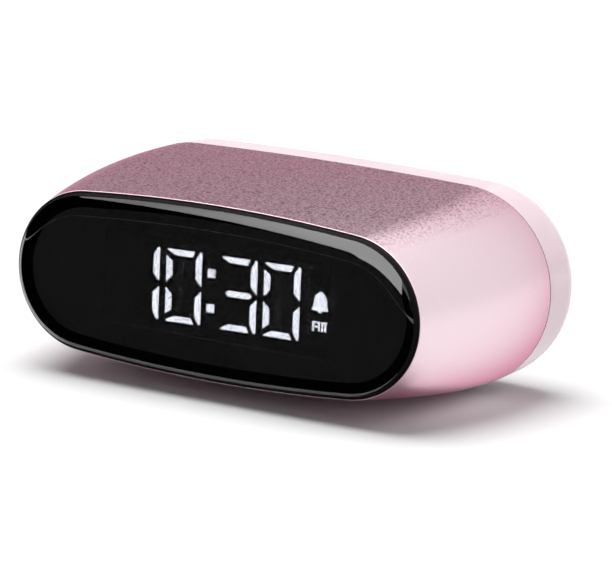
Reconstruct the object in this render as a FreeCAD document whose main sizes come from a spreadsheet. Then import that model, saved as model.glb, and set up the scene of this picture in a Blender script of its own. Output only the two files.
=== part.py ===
import FreeCAD, Part
import math
import os
import re
import Sketcher
from FreeCAD import Vector

# Compact bedside alarm clock with an aluminium sleeve, a crowned dark lens and a moulded rear cover.
# Millimetres. X runs to the viewer's right, Y to the back, Z up. Lengths along Y are counted from
# the sleeve's front edge and heights from the body's axis. The finished pieces are then placed so
# that the feet stand on Z = 0 and the origin lies under the middle of the clock.

SIZES = {
    # Outside form: four bowed ovals, each a half width, a half height and the rise of its arches
    "front_half_width": 44.1, "front_half_height": 16.9, "front_bow": 1.3,
    "shoulder_half_width": 47.9, "shoulder_half_height": 18.3, "shoulder_bow": 1.2,
    "waist_half_width": 50.0, "waist_half_height": 19.4, "waist_bow": 0.95,
    "rear_half_width": 49.6, "rear_half_height": 20.1, "rear_bow": 0.5,
    "shoulder_station": 13.8, "waist_station": 27.6, "sleeve_depth": 41.4, "body_depth": 56.0,
    # Sleeve and lens
    "sleeve_wall": 1.4, "rim_width": 0.45, "rim_round": 0.12, "seat_ledge": 1.2,
    "lens_gap": 0.1, "lens_embed": 1.2, "lens_proud": 0.25, "lens_crown": 2.2, "lens_shoulder": 5.0,
    "adhesive_thickness": 0.2, "adhesive_width": 3.0,
    # Rear cover
    "cover_wall": 1.8, "cover_taper": 2.0, "cover_fillet": 6.5, "seam_gap": 0.3, "seam_step": 0.5,
    "tongue_length": 3.0, "tongue_overlap": 3.0, "tongue_thickness": 1.3, "tongue_gap": 0.25,
    # Lens carrier
    "flange_thickness": 1.2, "carrier_gap": 0.15, "carrier_skirt": 1.5, "frame_wall": 1.5,
    "window_half_width": 24.6, "window_half_height": 9.0,
    # Display
    "glass_half_width": 26.0, "glass_half_height": 12.0, "rear_glass_half_height": 9.8,
    "glass_thickness": 1.1, "polarizer_thickness": 0.2, "segment_layer": 0.15, "display_gap": 0.15,
    "guide_half_width": 25.0, "guide_thickness": 3.5, "strip_half_length": 22.0,
    "strip_thickness": 1.5, "strip_height": 11.1,
    "led_across": 22.8, "led_width": 2.8, "led_tall": 3.5, "led_depth": 1.9, "led_gap": 0.2,
    # Main board
    "board_half_width": 34.0, "board_half_height": 12.4, "board_thickness": 1.2,
    "board_corner": 2.0, "board_screw_across": 30.5, "board_screw_up": 9.4, "post_radius": 2.1,
    "board_screw_radius": 0.9, "board_screw_length": 5.0, "board_head_radius": 1.7,
    "board_head_height": 1.2, "screw_gap": 0.05,
    "chip_half_width": 5.0, "chip_height": 1.4, "chip_across": 9.0,
    "crystal_radius": 1.0, "crystal_length": 6.0, "crystal_across": -6.0, "crystal_up": 5.0,
    # Case screws and their bosses
    "case_screw_across": 39.0, "boss_radius": 2.6, "boss_meeting": 30.0, "case_screw_radius": 1.0,
    "case_screw_length": 9.0, "case_head_radius": 1.7, "case_head_height": 1.3,
    "driver_radius": 1.9, "boss_floor": 1.2, "boss_rib": 1.0, "boss_rib_length": 12.0,
    # Keys on the back
    "key_across": 31.6, "key_up": 8.0, "key_half_width": 3.5, "key_half_height": 2.5,
    "key_gap": 0.15, "key_lip": 0.8, "key_lip_thickness": 0.7, "key_proud": 0.6, "key_round": 0.45,
    "key_travel": 0.5, "lip_gap": 0.05,
    "plunger_radius": 1.5, "plunger_gap": 0.05, "plunger_reach": 1.0, "plunger_depth": 1.2,
    "switch_half_width": 3.0, "switch_height": 3.5, "key_board_half_width": 4.3,
    "key_board_half_height": 14.4, "key_board_thickness": 1.6,
    "stake_up": 12.9, "stake_radius": 1.6, "pin_radius": 0.7, "pin_gap": 0.05, "pin_length": 2.6,
    # Alarm switch
    "alarm_travel": 3.0, "knob_half_width": 1.5, "knob_half_height": 2.0, "knob_proud": 0.5,
    "knob_lip_side": 0.8, "knob_lip_end": 0.7, "slider_half_width": 2.0, "slider_half_height": 4.3,
    "lever_half_width": 0.75, "lever_reach": 1.3, "lever_gap": 0.1, "lever_sink": 1.3,
    # Buzzer
    "buzzer_radius": 4.3, "buzzer_height": 4.2, "buzzer_port": 1.0,
    "sound_hole_radius": 0.6, "sound_ring_radius": 2.4,
    # Battery bay, two AAA cells
    "bay_half_width": 24.0, "bay_half_height": 11.2, "bay_wall": 1.0, "bay_depth": 12.7,
    "cell_radius": 5.25, "cell_length": 43.6, "nub_radius": 1.9, "nub_length": 0.9, "cell_up": 5.4,
    "cell_floor_gap": 0.1, "contact_thickness": 0.4, "contact_gap": 0.1, "contact_half_height": 4.0,
    "contact_half_depth": 2.5, "tab_length": 5.0, "bay_rib": 0.9,
    # Battery door
    "door_gap": 0.15, "door_thickness": 1.6, "barrel_radius": 1.0, "hinge_pin_radius": 0.6,
    "hinge_pin_length": 1.1, "hinge_pin_gap": 0.06, "groove_half_length": 7.0,
    "groove_half_height": 1.5, "groove_depth": 0.5, "groove_up": 7.6, "latch_half_width": 4.0,
    "latch_reach": 1.5, "latch_thickness": 1.0, "stop_across": 15.0, "stop_half_width": 2.0,
    "stop_height": 0.5,
    # Feet
    "foot_proud": 0.6, "foot_half_length": 15.0, "foot_half_width": 3.0, "front_foot_station": 20.0,
    "rear_foot_setback": 4.4,
    # Ribbon cables and touch spring
    "ribbon_thickness": 0.3, "ribbon_half_width": 3.5, "ribbon_slack": 3.0, "ribbon_fold": 8.0,
    "touch_half_width": 2.0, "touch_thickness": 0.3, "touch_base": 3.0, "touch_gap": 0.15,
    # Lit figures of the display
    "figure_half_height": 7.0, "figure_half_width": 3.9, "stroke": 1.3, "level_stroke": 1.15,
    "figure_gap": 0.55, "digit_pitch": 9.37, "first_digit": -17.7, "colon_space": 2.75,
    "colon_half_gap": 3.35, "colon_side": 1.6, "bell_across": 21.5, "bell_up": 0.9, "bell_half_width": 1.78,
    "bell_half_height": 2.03, "letters_across": 21.75, "letters_up": -3.65, "letter_height": 1.8,
    "letter_width": 1.6,
    "letter_stroke": 0.34, "letter_space": 0.35, "figures_up": -0.1, "figure_tilt": 1.2,
}

doc = FreeCAD.newDocument("BedsideClock")
sheet = doc.addObject("Spreadsheet::Sheet", "Sizes")
for row, (alias, number) in enumerate(SIZES.items(), start=1):
    sheet.set(f"A{row}", alias)
    sheet.set(f"B{row}", str(number))
    sheet.setAlias(f"B{row}", alias)
guess = doc.addObject("Spreadsheet::Sheet", "Guess")
doc.recompute()

# Places along Y that several pieces share, as formulas of the sheet
RECESS = "(lens_embed + adhesive_thickness + flange_thickness)"
FRONT_GLASS = f"({RECESS} + polarizer_thickness)"
SEGMENTS = f"({FRONT_GLASS} + glass_thickness)"
REAR_GLASS = f"({SEGMENTS} + segment_layer)"
REAR_FILM = f"({REAR_GLASS} + glass_thickness)"
GUIDE = f"({REAR_FILM} + polarizer_thickness)"
BOARD = f"({GUIDE} + guide_thickness)"
BOARD_BACK = f"({BOARD} + board_thickness)"
PANEL_INSIDE = "(body_depth - cover_wall)"
LIP_BACK = f"({PANEL_INSIDE} - lip_gap)"
LIP_FRONT = f"({LIP_BACK} - key_lip_thickness)"
SWITCH_BACK = f"({LIP_FRONT} - plunger_reach)"
KEY_BOARD_BACK = f"({SWITCH_BACK} - switch_height)"
KEY_BOARD = f"({KEY_BOARD_BACK} - key_board_thickness)"
BAY_FLOOR = "(body_depth - bay_depth)"
CELL_AXIS = f"({BAY_FLOOR} + cell_floor_gap + cell_radius)"
CELL_SHIFT = "(bay_half_width - contact_thickness - contact_gap - nub_length - cell_length / 2)"
DOOR_INSIDE = "(body_depth - door_thickness)"
HINGE_DEPTH = "(body_depth - barrel_radius)"
HINGE_HEIGHT = "(door_gap + barrel_radius - bay_half_height)"
HEAD_SEAT = "(boss_meeting + boss_floor)"
KNOB_REST = "(alarm_travel / 2)"

# The clock stands on its feet, with the origin under the middle of its depth
STAND_DEPTH = "(lens_proud + lens_crown - body_depth - key_proud) / 2"
STAND_HEIGHT = "max(waist_half_height; rear_half_height) + foot_proud"

NODES = []


def cells(formula):
    """Turn the size names in a formula into references to the sheet."""
    return re.sub(r"[a-z_]+", lambda word: "Sizes." + word[0] if word[0] in SIZES else word[0], formula)


def bind(thing, prop, formula):
    thing.setExpression(prop, cells(formula))


def value(formula):
    """Work out a formula on a second sheet, for the first guess of a sketch."""
    guess.set("A1", "=" + cells(formula))
    guess.recompute()
    return float(guess.get("A1"))


def keep(thing, label):
    """Name a finished piece and stand it on its feet."""
    thing.Label = label
    bind(thing, "Placement.Base.y", STAND_DEPTH)
    bind(thing, "Placement.Base.z", STAND_HEIGHT)
    NODES.append(thing)
    return thing


def new_body(name):
    return doc.addObject("PartDesign::Body", name)


def sketch_on(body, name, plane, first="0", second="0", out="0"):
    sketch = body.newObject("Sketcher::SketchObject", name)
    planes = [feature for feature in body.Origin.OriginFeatures if feature.Role == plane]
    sketch.AttachmentSupport = [(planes[0], "")]
    sketch.MapMode = "FlatFace"
    bind(sketch, "AttachmentOffset.Base.x", first)
    bind(sketch, "AttachmentOffset.Base.y", second)
    bind(sketch, "AttachmentOffset.Base.z", out)
    return sketch


def front_sketch(body, name, depth, across="0", up="0"):
    """A sketch seen from the front, at a depth behind the sleeve's edge."""
    return sketch_on(body, name, "XZ_Plane", across, up, f"-({depth})")


def side_sketch(body, name, across, depth="0", up="0"):
    return sketch_on(body, name, "YZ_Plane", depth, up, across)


def top_sketch(body, name, up, across="0", depth="0"):
    return sketch_on(body, name, "XY_Plane", across, depth, up)


def fix(sketch, formula, kind, *where):
    """Add a sized constraint and bind it to the sheet."""
    index = sketch.addConstraint(Sketcher.Constraint(kind, *where, value(formula)))
    bind(sketch, f"Constraints[{index}]", formula)


def polygon(sketch, corners):
    """A closed outline whose corners are pairs of formulas."""
    first = sketch.GeometryCount
    count = len(corners)
    spots = [Vector(value(across), value(up), 0) for across, up in corners]
    for i in range(count):
        sketch.addGeometry(Part.LineSegment(spots[i], spots[(i + 1) % count]), False)
    for i in range(count):
        sketch.addConstraint(Sketcher.Constraint("Coincident", first + i, 2, first + (i + 1) % count, 1))
        fix(sketch, corners[i][0], "DistanceX", -1, 1, first + i, 1)
        fix(sketch, corners[i][1], "DistanceY", -1, 1, first + i, 1)


def rectangle(sketch, half_width, half_height):
    left, right = f"-({half_width})", f"({half_width})"
    low, high = f"-({half_height})", f"({half_height})"
    polygon(sketch, [(left, low), (right, low), (right, high), (left, high)])


def circle(sketch, radius, signs=(1, 1), across="0", up="0"):
    """A round outline whose centre is given by formulas and two signs."""
    x, y = f"{signs[0]} * ({across})", f"{signs[1]} * ({up})"
    centre = Vector(value(x), value(y), 0)
    index = sketch.addGeometry(Part.Circle(centre, Vector(0, 0, 1), value(radius)), False)
    fix(sketch, radius, "Radius", index)
    fix(sketch, x, "DistanceX", -1, 1, index, 3)
    fix(sketch, y, "DistanceY", -1, 1, index, 3)


def arc(centre, radius, start, end):
    round_line = Part.Circle(centre, Vector(0, 0, 1), radius)
    return Part.ArcOfCircle(round_line, start, end)


def oval(sketch, half_width, half_height, bow):
    """A bowed oval: two round ends joined by a flat arch above and one below, all tangent."""
    a, b, r = half_width, half_height, f"({half_height}) - ({bow})"
    centre = f"({a}) - ({r})"
    arch = f"(({centre}) * ({centre}) + ({b}) * ({b}) - ({r}) * ({r})) / (2 * (({b}) - ({r})))"
    end_x, end_r, arch_r = value(centre), value(r), value(arch)
    drop = arch_r - value(b)
    lean = math.atan2(drop, end_x)
    first = sketch.GeometryCount
    sketch.addGeometry(arc(Vector(end_x, 0, 0), end_r, -lean, lean), False)
    sketch.addGeometry(arc(Vector(0, -drop, 0), arch_r, lean, math.pi - lean), False)
    sketch.addGeometry(arc(Vector(-end_x, 0, 0), end_r, math.pi - lean, math.pi + lean), False)
    sketch.addGeometry(arc(Vector(0, drop, 0), arch_r, math.pi + lean, 2 * math.pi - lean), False)
    for i in range(4):
        sketch.addConstraint(Sketcher.Constraint("Tangent", first + i, 2, first + (i + 1) % 4, 1))
    sketch.addConstraint(Sketcher.Constraint("PointOnObject", first, 3, -1))
    sketch.addConstraint(Sketcher.Constraint("PointOnObject", first + 1, 3, -2))
    sketch.addConstraint(Sketcher.Constraint("Symmetric", first, 3, first + 2, 3, -2))
    sketch.addConstraint(Sketcher.Constraint("Equal", first + 1, first + 3))
    fix(sketch, centre, "DistanceX", -1, 1, first, 3)
    fix(sketch, r, "Radius", first)
    fix(sketch, arch, "Radius", first + 1)


def obround(sketch, half_width, half_height):
    """A slot with round ends, lying along the sketch's first axis."""
    end_x, r = value(f"({half_width}) - ({half_height})"), value(half_height)
    first = sketch.GeometryCount
    quarter = math.pi / 2
    sketch.addGeometry(arc(Vector(end_x, 0, 0), r, -quarter, quarter), False)
    sketch.addGeometry(Part.LineSegment(Vector(end_x, r, 0), Vector(-end_x, r, 0)), False)
    sketch.addGeometry(arc(Vector(-end_x, 0, 0), r, quarter, 3 * quarter), False)
    sketch.addGeometry(Part.LineSegment(Vector(-end_x, -r, 0), Vector(end_x, -r, 0)), False)
    for i in range(4):
        sketch.addConstraint(Sketcher.Constraint("Tangent", first + i, 2, first + (i + 1) % 4, 1))
    sketch.addConstraint(Sketcher.Constraint("Symmetric", first, 3, first + 2, 3, -1, 1))
    sketch.addConstraint(Sketcher.Constraint("PointOnObject", first, 3, -1))
    fix(sketch, f"({half_width}) - ({half_height})", "DistanceX", -1, 1, first, 3)
    fix(sketch, half_height, "Radius", first)


def pad(body, sketch, length, forward=True, both_ways=False, taper=None):
    """Grow a sketch along its normal, or against it, or both ways at once."""
    feature = body.newObject("PartDesign::Pad", sketch.Name + "_pad")
    feature.Profile = sketch
    feature.Reversed = not forward
    feature.Midplane = both_ways
    bind(feature, "Length", length)
    if taper:
        bind(feature, "TaperAngle", taper)
    sketch.Visibility = False
    doc.recompute()
    return feature


def pad_back(body, sketch, length, taper=None):
    """Grow a front sketch towards the back, against its normal."""
    return pad(body, sketch, length, forward=False, taper=taper)


def pocket(body, sketch, length, to_back=True, both_ways=False, taper=None):
    """Cut a sketch into the body, and stop if nothing was cut."""
    before = body.Shape.Volume
    feature = body.newObject("PartDesign::Pocket", sketch.Name + "_cut")
    feature.Profile = sketch
    feature.Reversed = not to_back
    feature.Midplane = both_ways
    bind(feature, "Length", length)
    if taper:
        bind(feature, "TaperAngle", taper)
    sketch.Visibility = False
    doc.recompute()
    if body.Shape.Volume > before - 1e-4:
        raise RuntimeError(feature.Name + " cuts nothing")
    return feature


def edge_names(shape, wanted):
    return [f"Edge{i}" for i, edge in enumerate(shape.Edges, start=1) if wanted(edge)]


def at_depth(depth):
    """Pick the edges that lie wholly at one depth."""
    place = value(depth)
    return lambda edge: all(abs(bound - place) < 1e-3 for bound in (edge.BoundBox.YMin, edge.BoundBox.YMax))


def soften(body, kind, prop, size, wanted):
    """Fillet or chamfer the edges of the body's last feature that are wanted."""
    last = body.Tip
    feature = body.newObject("PartDesign::" + kind, body.Name + "_" + kind.lower() + last.Name)
    feature.Base = (last, edge_names(last.Shape, wanted))
    bind(feature, prop, size)
    doc.recompute()
    return feature


# The outside form's four sections, from the sleeve's front edge to the seam
SECTIONS = [("front", "0"), ("shoulder", "shoulder_station"), ("waist", "waist_station"),
            ("rear", "sleeve_depth")]


def form_loft(body, name, inset, kind):
    """Loft the outside form, drawn in by an inset, through its four sections."""
    sketches = []
    for word, station in SECTIONS:
        sketch = front_sketch(body, f"{name}_{word}", station)
        drawn_in = inset if word != "front" or inset == "0" else "rim_width + seat_ledge"
        oval(sketch, f"{word}_half_width - ({drawn_in})", f"{word}_half_height - ({drawn_in})",
             f"{word}_bow")
        sketch.Visibility = False
        sketches.append(sketch)
    loft = body.newObject("PartDesign::" + kind, name)
    loft.Profile = sketches[0]
    loft.Sections = sketches[1:]
    doc.recompute()
    return loft


def lens_oval(sketch, inset):
    """An oval that follows the sleeve's front opening, drawn in by an inset."""
    oval(sketch, f"front_half_width - rim_width - ({inset})", f"front_half_height - rim_width - ({inset})",
         "front_bow")


def rear_oval(sketch, inset):
    oval(sketch, f"rear_half_width - ({inset})", f"rear_half_height - ({inset})", "rear_bow")


def plate(label, depth, thickness, half_width, half_height, across="0", up="0"):
    """A flat rectangular piece that faces the front."""
    body = new_body(label)
    sketch = front_sketch(body, label + "_outline", depth, across, up)
    rectangle(sketch, half_width, half_height)
    pad_back(body, sketch, thickness)
    return keep(body, label)


def housing_sleeve():
    body = new_body("housing_sleeve")
    form_loft(body, "sleeve_outside", "0", "AdditiveLoft")
    form_loft(body, "sleeve_inside", "sleeve_wall", "SubtractiveLoft")
    recess = front_sketch(body, "lens_recess", "0")
    lens_oval(recess, "0")
    pocket(body, recess, RECESS)
    opening = value("front_half_height - rim_width / 2")

    def outer_rim(edge):
        """True for the front edge's outer line, whose every stretch lies further out than the opening."""
        if not at_depth("0")(edge):
            return False
        spot = edge.valueAt((edge.FirstParameter + edge.LastParameter) / 2)
        beyond = abs(spot.x) - value("front_half_width - front_half_height")
        return math.hypot(max(beyond, 0), spot.z) > opening or abs(spot.z) > opening

    soften(body, "Fillet", "Radius", "rim_round", outer_rim)
    return keep(body, "housing_sleeve")


def front_lens():
    body = new_body("front_lens")
    edge = front_sketch(body, "lens_edge", "lens_embed")
    lens_oval(edge, "lens_gap")
    pad(body, edge, "lens_embed + lens_proud")
    steps = 4
    sketches = []
    for i in range(steps + 1):
        turn = f"{90 * i / steps} deg"
        sketch = front_sketch(body, f"lens_shoulder_{i}", f"-(lens_proud + lens_crown * sin({turn}))")
        lens_oval(sketch, f"lens_gap + lens_shoulder * (1 - cos({turn}))")
        sketch.Visibility = False
        sketches.append(sketch)
    loft = body.newObject("PartDesign::AdditiveLoft", "lens_crown_loft")
    loft.Profile = sketches[0]
    loft.Sections = sketches[1:]
    doc.recompute()
    return keep(body, "front_lens")


def lens_adhesive():
    body = new_body("lens_adhesive")
    ring = front_sketch(body, "adhesive_ring", "lens_embed")
    lens_oval(ring, "lens_gap")
    lens_oval(ring, "lens_gap + adhesive_width")
    pad_back(body, ring, "adhesive_thickness")
    return keep(body, "lens_adhesive")


def four_circles(sketch, radius, across, up):
    for signs in ((1, 1), (-1, 1), (-1, -1), (1, -1)):
        circle(sketch, radius, signs, across, up)


def two_circles(sketch, radius, across):
    for side in (1, -1):
        circle(sketch, radius, (side, 1), across)


def lens_carrier():
    body = new_body("lens_carrier")
    flange = front_sketch(body, "carrier_flange", "lens_embed + adhesive_thickness")
    lens_oval(flange, "lens_gap")
    pad_back(body, flange, "flange_thickness")
    skirt = front_sketch(body, "carrier_plate", RECESS)
    lens_oval(skirt, "seat_ledge + carrier_gap")
    pad_back(body, skirt, "carrier_skirt")
    frame = front_sketch(body, "display_frame", RECESS)
    around = "display_gap + frame_wall"
    rectangle(frame, f"glass_half_width + {around}", f"glass_half_height + {around}")
    pad_back(body, frame, f"{BOARD} - {RECESS}")
    posts = front_sketch(body, "board_posts", RECESS)
    four_circles(posts, "post_radius", "board_screw_across", "board_screw_up")
    pad_back(body, posts, f"{BOARD} - {RECESS}")
    bosses = front_sketch(body, "case_bosses", RECESS)
    two_circles(bosses, "boss_radius", "case_screw_across")
    pad_back(body, bosses, f"boss_meeting - {RECESS}")
    for side in (1, -1):
        rib = front_sketch(body, f"boss_rib_{'right' if side > 0 else 'left'}", RECESS,
                           f"{side} * case_screw_across")
        rectangle(rib, "boss_rib / 2", "2 * boss_radius")
        pad_back(body, rib, "boss_rib_length")
    well = front_sketch(body, "display_well", RECESS)
    rectangle(well, "glass_half_width + display_gap", "glass_half_height + display_gap")
    pocket(body, well, f"{BOARD} - {RECESS}")
    window = front_sketch(body, "display_window", "lens_embed + adhesive_thickness")
    rectangle(window, "window_half_width", "window_half_height")
    pocket(body, window, "flange_thickness")
    holes = front_sketch(body, "board_screw_holes", BOARD)
    four_circles(holes, "board_screw_radius + screw_gap", "board_screw_across", "board_screw_up")
    pocket(body, holes, f"{BOARD} - {RECESS}", to_back=False)
    pilots = front_sketch(body, "case_screw_holes", "boss_meeting")
    two_circles(pilots, "case_screw_radius + screw_gap", "case_screw_across")
    pocket(body, pilots, "case_screw_length", to_back=False)
    return keep(body, "lens_carrier")


def light_guide():
    body = new_body("light_guide")
    outline = front_sketch(body, "guide_outline", GUIDE)
    rectangle(outline, "guide_half_width", "rear_glass_half_height")
    pad_back(body, outline, "guide_thickness")
    for side in (1, -1):
        notch = front_sketch(body, f"led_notch_{'right' if side > 0 else 'left'}", BOARD,
                             f"{side} * led_across")
        rectangle(notch, "led_width / 2 + led_gap", "led_tall / 2 + led_gap")
        pocket(body, notch, "led_depth + led_gap", to_back=False)
    return keep(body, "light_guide")


def backlight_leds():
    body = new_body("backlight_leds")
    for side in (1, -1):
        outline = front_sketch(body, f"led_outline_{'right' if side > 0 else 'left'}", BOARD,
                               f"{side} * led_across")
        rectangle(outline, "led_width / 2", "led_tall / 2")
        pad(body, outline, "led_depth")
    return keep(body, "backlight_leds")


def contact_strips():
    body = new_body("contact_strips")
    for side in (1, -1):
        outline = front_sketch(body, f"strip_outline_{'upper' if side > 0 else 'lower'}", SEGMENTS,
                               up=f"{side} * strip_height")
        rectangle(outline, "strip_half_length", "strip_thickness / 2")
        pad_back(body, outline, f"{BOARD} - {SEGMENTS}")
    return keep(body, "contact_strips")


def main_board():
    body = new_body("main_board")
    outline = front_sketch(body, "board_outline", BOARD)
    rectangle(outline, "board_half_width", "board_half_height")
    pad_back(body, outline, "board_thickness")
    soften(body, "Fillet", "Radius", "board_corner", lambda edge: edge.BoundBox.YLength > 0.5)
    holes = front_sketch(body, "board_holes", BOARD)
    four_circles(holes, "board_screw_radius + 2 * screw_gap", "board_screw_across", "board_screw_up")
    pocket(body, holes, "board_thickness")
    return keep(body, "main_board")


def clock_chip():
    chip = plate("clock_chip", BOARD_BACK, "chip_height", "chip_half_width", "chip_half_width",
                 "chip_across")
    soften(chip, "Chamfer", "Size", "chip_height / 4", at_depth(f"{BOARD_BACK} + chip_height"))
    return chip


def quartz_crystal():
    body = new_body("quartz_crystal")
    outline = side_sketch(body, "crystal_outline", "crystal_across", f"{BOARD_BACK} + crystal_radius",
                          "crystal_up")
    circle(outline, "crystal_radius")
    pad(body, outline, "crystal_length", both_ways=True)
    return keep(body, "quartz_crystal")


def screws(label, seat, centres, head_radius, head_height, radius, length):
    """Pan-head screws driven from behind, one solid each."""
    body = new_body(label)
    heads = front_sketch(body, label + "_heads", seat)
    centres(heads, head_radius)
    pad_back(body, heads, head_height)
    rims = at_depth(f"({seat}) + {head_height}")
    soften(body, "Fillet", "Radius", f"{head_height} / 3", rims)
    shanks = front_sketch(body, label + "_shanks", seat)
    centres(shanks, radius)
    pad(body, shanks, length)
    for turn in (0, 1):
        slot = front_sketch(body, f"{label}_slot_{turn}", f"({seat}) + {head_height}")
        halves = ("slot_span", f"{head_radius} / 7") if turn == 0 else (f"{head_radius} / 7", "slot_span")
        width, height = [half.replace("slot_span", f"{head_radius} * 0.6") for half in halves]
        slots(slot, centres, width, height)
        pocket(body, slot, f"{head_height} / 2", to_back=False)
    return keep(body, label)


def slots(sketch, centres, half_width, half_height):
    """Put a small rectangle on each centre that a circle helper would use."""
    spots = SCREW_SPOTS[centres]
    for across, up in spots:
        left, right = f"{across} - ({half_width})", f"{across} + ({half_width})"
        low, high = f"{up} - ({half_height})", f"{up} + ({half_height})"
        polygon(sketch, [(left, low), (right, low), (right, high), (left, high)])


def board_spots(sketch, radius):
    four_circles(sketch, radius, "board_screw_across", "board_screw_up")


def case_spots(sketch, radius):
    two_circles(sketch, radius, "case_screw_across")


SCREW_SPOTS = {
    board_spots: [(f"{x} * board_screw_across", f"{z} * board_screw_up") for x in (1, -1) for z in (1, -1)],
    case_spots: [(f"{x} * case_screw_across", "0") for x in (1, -1)],
}


def rear_cover():
    body = new_body("rear_cover")
    skirt = front_sketch(body, "cover_skirt", "sleeve_depth + seam_gap")
    rear_oval(skirt, "0")
    pad_back(body, skirt, "body_depth - sleeve_depth - seam_gap", taper="-cover_taper")
    core = front_sketch(body, "cover_core", "sleeve_depth + seam_gap")
    rear_oval(core, "cover_wall")
    pocket(body, core, f"{PANEL_INSIDE} - sleeve_depth - seam_gap", taper="-cover_taper")
    soften(body, "Fillet", "Radius", "cover_fillet - cover_wall", at_depth(PANEL_INSIDE))
    soften(body, "Fillet", "Radius", "cover_fillet", at_depth("body_depth"))
    step = front_sketch(body, "seam_ring", "sleeve_depth")
    rear_oval(step, "seam_step")
    rear_oval(step, "sleeve_wall + tongue_gap + tongue_thickness")
    pad_back(body, step, "seam_gap + seam_step")
    tongue = front_sketch(body, "cover_tongue", "sleeve_depth - tongue_length")
    rear_oval(tongue, "sleeve_wall + tongue_gap")
    rear_oval(tongue, "sleeve_wall + tongue_gap + tongue_thickness")
    pad_back(body, tongue, "tongue_length + tongue_overlap")
    bay = front_sketch(body, "bay_block", f"{BAY_FLOOR} - bay_wall")
    rectangle(bay, "bay_half_width + bay_wall", "bay_half_height + bay_wall")
    pad_back(body, bay, "bay_depth + bay_wall - cover_wall / 2")
    tubes = front_sketch(body, "screw_tubes", "boss_meeting")
    two_circles(tubes, "boss_radius", "case_screw_across")
    pad_back(body, tubes, "body_depth - cover_wall / 2 - boss_meeting")
    for side in (1, -1):
        stakes = front_sketch(body, f"key_stakes_{'right' if side > 0 else 'left'}", KEY_BOARD_BACK,
                              f"{side} * key_across")
        circle(stakes, "stake_radius", (1, 1), "0", "stake_up")
        circle(stakes, "stake_radius", (1, -1), "0", "stake_up")
        pad_back(body, stakes, f"{PANEL_INSIDE} + cover_wall / 2 - {KEY_BOARD_BACK}")
        pins = front_sketch(body, f"stake_pins_{'right' if side > 0 else 'left'}",
                            f"{KEY_BOARD_BACK} - pin_length", f"{side} * key_across")
        circle(pins, "pin_radius", (1, 1), "0", "stake_up")
        circle(pins, "pin_radius", (1, -1), "0", "stake_up")
        pad_back(body, pins, "pin_length")
    cavity = front_sketch(body, "bay_cavity", "body_depth")
    rectangle(cavity, "bay_half_width", "bay_half_height")
    pocket(body, cavity, "bay_depth", to_back=False)
    for side in (1, -1):
        stop = front_sketch(body, f"door_stop_{'right' if side > 0 else 'left'}", BAY_FLOOR,
                            f"{side} * stop_across", "bay_half_height - stop_height / 2")
        rectangle(stop, "stop_half_width", "stop_height / 2")
        pad_back(body, stop, f"{DOOR_INSIDE} - door_gap / 2 - {BAY_FLOOR}")
    divider = front_sketch(body, "bay_divider", BAY_FLOOR)
    rectangle(divider, "bay_half_width / 2", "bay_rib / 2")
    pad_back(body, divider, "cell_radius / 2")
    sockets = side_sketch(body, "hinge_sockets", "0", HINGE_DEPTH, HINGE_HEIGHT)
    circle(sockets, "hinge_pin_radius + hinge_pin_gap")
    pocket(body, sockets, "2 * (bay_half_width + hinge_pin_length + door_gap)", both_ways=True)
    driver = front_sketch(body, "driver_holes", "body_depth")
    two_circles(driver, "driver_radius", "case_screw_across")
    pocket(body, driver, f"body_depth - {HEAD_SEAT}", to_back=False)
    shanks = front_sketch(body, "shank_holes", HEAD_SEAT)
    two_circles(shanks, "case_screw_radius + 2 * screw_gap", "case_screw_across")
    pocket(body, shanks, "boss_floor", to_back=False)
    for across, up, name in KEY_PLACES:
        hole = front_sketch(body, f"{name}_hole", "body_depth", across, up)
        obround(hole, "key_half_width + key_gap", "key_half_height + key_gap")
        pocket(body, hole, "cover_wall + cover_wall / 2", to_back=False)
    slot = front_sketch(body, "alarm_slot", "body_depth", "key_across")
    rectangle(slot, "knob_half_width + key_gap", "knob_half_height + alarm_travel / 2 + key_gap")
    pocket(body, slot, "cover_wall + cover_wall / 2", to_back=False)
    sound = front_sketch(body, "sound_holes", "body_depth", "-key_across")
    circle(sound, "sound_hole_radius")
    for i in range(6):
        circle(sound, "sound_hole_radius", (1, 1), f"sound_ring_radius * cos({60 * i} deg)",
               f"sound_ring_radius * sin({60 * i} deg)")
    pocket(body, sound, "cover_wall + cover_wall / 2", to_back=False)
    for side in (1, -1):
        slit = front_sketch(body, f"tab_slit_{'upper' if side > 0 else 'lower'}", BAY_FLOOR,
                            "bay_half_width + bay_wall / 2", f"{side} * cell_up")
        rectangle(slit, "bay_wall", "contact_half_height / 2 + contact_gap")
        pocket(body, slit, f"{KEY_BOARD} + contact_gap - {BAY_FLOOR}")
    return keep(body, "rear_cover")


KEY_PLACES = [("-key_across", "key_up", "hour_button"), ("-key_across", "-key_up", "minute_button"),
              ("key_across", "key_up", "time_set_button"), ("key_across", "-key_up", "alarm_set_button")]


def key_button(across, up, label):
    """A push button with a lip inside the cover that stops it falling out."""
    body = new_body(label)
    lip = front_sketch(body, label + "_lip", LIP_FRONT, across, up)
    obround(lip, "key_half_width + key_lip", "key_half_height + key_lip")
    pad_back(body, lip, "key_lip_thickness")
    cap = front_sketch(body, label + "_cap", LIP_FRONT, across, up)
    obround(cap, "key_half_width", "key_half_height")
    pad_back(body, cap, f"body_depth + key_proud - {LIP_FRONT}")
    soften(body, "Fillet", "Radius", "key_round", at_depth("body_depth + key_proud"))
    return keep(body, label)


def key_plunger(across, up, label):
    body = new_body(label)
    stem = front_sketch(body, label + "_stem", f"{SWITCH_BACK} - plunger_depth", across, up)
    circle(stem, "plunger_radius")
    pad_back(body, stem, "plunger_depth + plunger_reach")
    return keep(body, label)


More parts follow.
